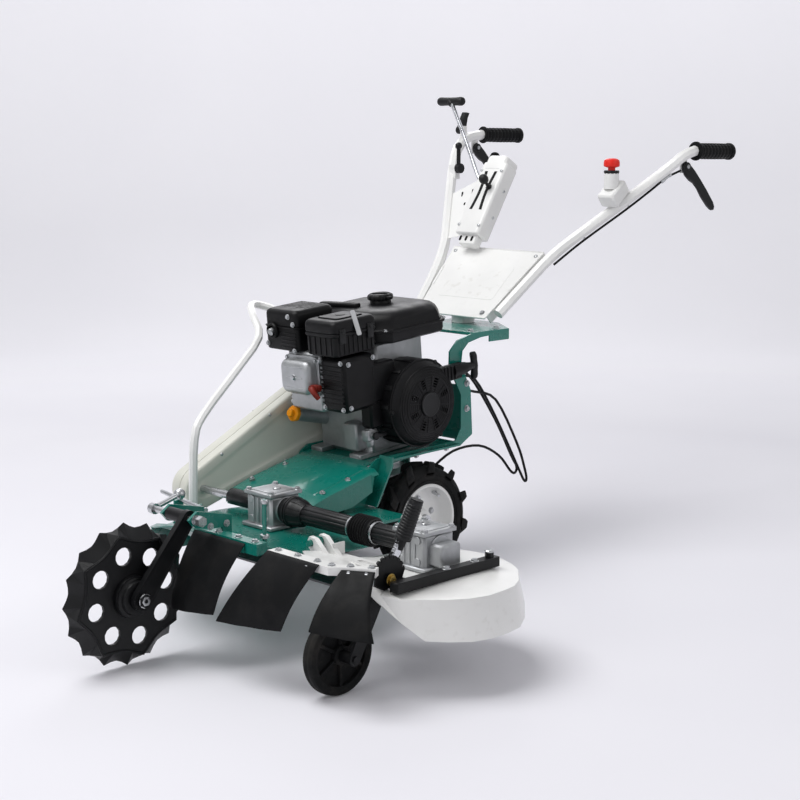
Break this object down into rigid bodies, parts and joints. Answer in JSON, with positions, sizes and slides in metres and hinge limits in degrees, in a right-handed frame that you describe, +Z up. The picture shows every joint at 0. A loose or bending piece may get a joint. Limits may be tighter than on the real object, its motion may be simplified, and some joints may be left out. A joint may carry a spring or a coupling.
{
  "type": "wing mower",
  "caption": "Two-wheeled walking wing mower with engine, main deck, tilting wing deck on a gauge wheel, spiked guide wheel and swinging handle.",
  "frame": {"origin": "middle of the bounding box's base, on the ground the wheels stand on", "axes": "+Z up, -Y the way the machine mows, +X the operator's left"},
  "size_m": [1.1218, 1.7444, 1.011],
  "materials": {
    "green": "gloss",
    "white": "satin",
    "cream": "satin",
    "cast": "matte",
    "engine_black": "satin",
    "black_metal": "satin",
    "black_plastic": "satin",
    "rubber": "matte",
    "tyre": "matte",
    "steel": "satin",
    "blade_steel": "satin",
    "amber": "gloss",
    "red": "gloss"
  },
  "bodies": {
    "chassis": {"main_frame": "green", "body_cover": "green", "main_deck": "green", "belt_cover": "cream", "guard_pipe": "white", "transmission_case": "cast", "engine_crankcase": "cast", "engine_shroud": "engine_black", "cylinder_head_cover": "cast", "recoil_cover": "engine_black", "muffler": "engine_black", "air_cleaner": "engine_black", "fuel_tank": "engine_black", "fuel_cock": "cast", "oil_filler_cap": "amber", "centre_gearbox": "cast", "flap_right": "rubber", "pivot_rod": "steel", "drive_belt": "rubber", "cable_clutch": "rubber", "cable_throttle": "rubber", "shaft_guard_inner": "black_plastic"},
    "drive_wheels": {"drive_axle": "steel", "left_rim": "white", "left_tyre": "tyre", "right_rim": "white", "right_tyre": "tyre"},
    "guide_arm": {"disc_arm": "black_metal"},
    "guide_wheel": {"disc_wheel": "black_plastic"},
    "crank": {"crankshaft": "steel"},
    "input_shaft": {"gearbox_pulley": "steel"},
    "main_blade_set": {"main_blade": "blade_steel"},
    "inner_shaft": {"drive_shaft_inner": "steel"},
    "wing": {"wing_deck": "white", "wing_bar": "black_metal", "wing_gearbox": "cast", "wing_flap": "rubber", "flap_centre": "rubber", "shaft_guard_outer": "black_plastic", "shaft_boot": "rubber"},
    "outer_shaft": {"drive_shaft_outer": "steel"},
    "wing_blade_set": {"wing_blade": "blade_steel"},
    "gauge_lever": {"height_lever": "black_metal"},
    "gauge_wheel_set": {"gauge_wheel": "black_plastic"},
    "cap": {"fuel_cap": "engine_black"},
    "cock_lever": {"fuel_cock_lever": "black_plastic"},
    "starter_grip": {"recoil_grip": "black_plastic"},
    "handle": {"handle_base": "white", "handle_arm_left": "white", "handle_arm_right": "white", "control_box": "cream", "left_grip": "rubber", "right_grip": "rubber", "stop_switch": "cream"},
    "left_hand_lever": {"left_lever": "black_metal"},
    "right_hand_lever": {"right_lever": "black_metal"},
    "gear_lever": {"shift_lever": "steel"},
    "safety": {"safety_lever": "black_plastic"},
    "throttle": {"throttle_lever": "black_plastic"},
    "button": {"stop_button": "red"}
  },
  "joints": [
    {"name": "drive_axle_turn", "type": "hinge", "parent": "chassis", "child": "drive_wheels", "pos_m": [-0.16293, 0.02678, 0.124], "axis": [1, 0, 0], "continuous": true},
    {"name": "guide_arm_height", "type": "hinge", "parent": "chassis", "child": "guide_arm", "pos_m": [0.03207, -0.64122, 0.257], "axis": [1, 0, 0], "range_deg": [-18, 0]},
    {"name": "guide_wheel_spin", "type": "hinge", "parent": "guide_arm", "child": "guide_wheel", "pos_m": [0.01707, -0.74322, 0.129], "axis": [1, 0, 0], "continuous": true},
    {"name": "crankshaft_turn", "type": "hinge", "parent": "chassis", "child": "crank", "pos_m": [-0.16293, 0.03678, 0.37], "axis": [1, 0, 0], "continuous": true},
    {"name": "input_shaft_turn", "type": "hinge", "parent": "chassis", "child": "input_shaft", "pos_m": [-0.29493, -0.35822, 0.213], "axis": [1, 0, 0], "continuous": true},
    {"name": "main_blade_spin", "type": "hinge", "parent": "chassis", "child": "main_blade_set", "pos_m": [-0.04793, -0.35822, 0.1], "axis": [0, 0, 1], "continuous": true},
    {"name": "inner_shaft_turn", "type": "hinge", "parent": "chassis", "child": "inner_shaft", "pos_m": [0.21207, -0.35822, 0.213], "axis": [1, 0, 0], "continuous": true},
    {"name": "wing_tilt", "type": "hinge", "parent": "chassis", "child": "wing", "pos_m": [0.21207, -0.35822, 0.213], "axis": [0, -1, 0], "range_deg": [-8, 50], "deforming": ["shaft_boot"]},
    {"name": "outer_shaft_turn", "type": "hinge", "parent": "wing", "child": "outer_shaft", "pos_m": [0.21207, -0.35822, 0.213], "axis": [1, 0, 0], "continuous": true},
    {"name": "wing_blade_spin", "type": "hinge", "parent": "wing", "child": "wing_blade_set", "pos_m": [0.36207, -0.35822, 0.1], "axis": [0, 0, 1], "continuous": true},
    {"name": "gauge_height", "type": "hinge", "parent": "wing", "child": "gauge_lever", "pos_m": [0.41707, -0.50822, 0.195], "axis": [1, 0, 0], "range_deg": [-26, 0]},
    {"name": "gauge_wheel_spin", "type": "hinge", "parent": "gauge_lever", "child": "gauge_wheel_set", "pos_m": [0.37707, -0.57822, 0.07], "axis": [1, 0, 0], "continuous": true},
    {"name": "fuel_cap_turn", "type": "hinge", "parent": "chassis", "child": "cap", "pos_m": [-0.17293, 0.04889, 0.57584], "axis": [0, -0.0872, 0.9962], "range_deg": [0, 90]},
    {"name": "fuel_cock_turn", "type": "hinge", "parent": "chassis", "child": "cock_lever", "pos_m": [-0.06463, -0.07047, 0.31039], "axis": [1, 0, 0], "range_deg": [-90, 0]},
    {"name": "starter_pull", "type": "slide", "parent": "chassis", "child": "starter_grip", "axis": [0, 0.9962, 0.0872], "range_m": [0, 0.1], "stiffness_N_per_m": 60, "springref_m": -0.02},
    {"name": "handle_swing", "type": "hinge", "parent": "chassis", "child": "handle", "pos_m": [-0.19293, 0.32678, 0.505], "axis": [0, 0, 1], "range_deg": [-30, 30]},
    {"name": "left_lever_squeeze", "type": "hinge", "parent": "handle", "child": "left_hand_lever", "pos_m": [0.10507, 0.72678, 0.848], "axis": [1, 0, 0], "range_deg": [0, 22], "stiffness_Nm_per_rad": 1.5, "springref_deg": -20.05},
    {"name": "right_lever_squeeze", "type": "hinge", "parent": "handle", "child": "right_hand_lever", "pos_m": [-0.51493, 0.71678, 0.886], "axis": [1, 0, 0], "range_deg": [0, 22], "stiffness_Nm_per_rad": 1.5, "springref_deg": -20.05},
    {"name": "gear_lever_swing", "type": "hinge", "parent": "handle", "child": "gear_lever", "pos_m": [-0.31893, 0.52678, 0.8], "axis": [1, 0, 0], "range_deg": [-10, 10]},
    {"name": "safety_lever_press", "type": "hinge", "parent": "handle", "child": "safety", "pos_m": [-0.52993, 0.67178, 0.93], "axis": [1, 0, 0], "range_deg": [-35, 0], "stiffness_Nm_per_rad": 0.3, "springref_deg": 20.05},
    {"name": "throttle_turn", "type": "hinge", "parent": "handle", "child": "throttle", "pos_m": [-0.43393, 0.56678, 0.838], "axis": [1, 0, 0], "range_deg": [-25, 25]},
    {"name": "stop_button_press", "type": "slide", "parent": "handle", "child": "button", "axis": [0, 0, -1], "range_m": [0, 0.004], "stiffness_N_per_m": 400, "springref_m": -0.004}
  ],
  "couplings": [
    {"joint": "main_blade_spin", "follows": "input_shaft_turn", "ratio": 1},
    {"joint": "inner_shaft_turn", "follows": "input_shaft_turn", "ratio": 1},
    {"joint": "outer_shaft_turn", "follows": "input_shaft_turn", "ratio": 1},
    {"joint": "wing_blade_spin", "follows": "input_shaft_turn", "ratio": 1}
  ]
}
